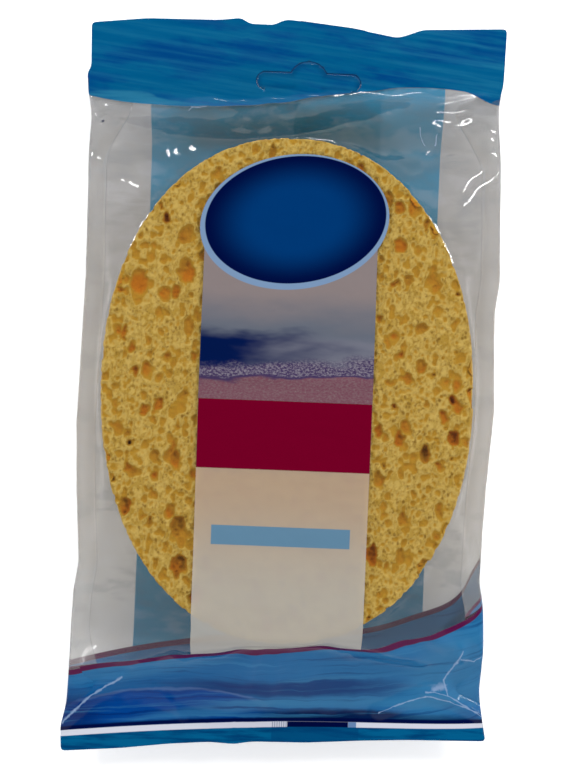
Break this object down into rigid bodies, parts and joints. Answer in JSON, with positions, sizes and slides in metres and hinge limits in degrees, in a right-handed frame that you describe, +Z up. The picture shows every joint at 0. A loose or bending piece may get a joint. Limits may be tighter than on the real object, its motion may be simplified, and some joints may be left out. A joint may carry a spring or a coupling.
{
  "type": "packaged bath sponge",
  "caption": "Oval cellulose bath sponge sealed in a clear printed film bag with side gussets, a header with a die-cut hang slot and a crimped foot seal.",
  "frame": {"origin": "on the surface the bag lies on, under the middle of the bag's length and width", "axes": "+Y towards the header with the hang slot, +X to the right as the printed front is read, +Z up out of the printed front"},
  "size_m": [0.13, 0.222, 0.0358],
  "materials": {
    "cellulose": "matt open-pored cellulose, pale yellow on the cut face and orange in the pores",
    "printed_film": "glossy clear film with opaque blue, magenta and cream printing"
  },
  "bodies": {
    "root": {"sponge": "cellulose", "film_bag": "printed_film"}
  },
  "joints": []
}
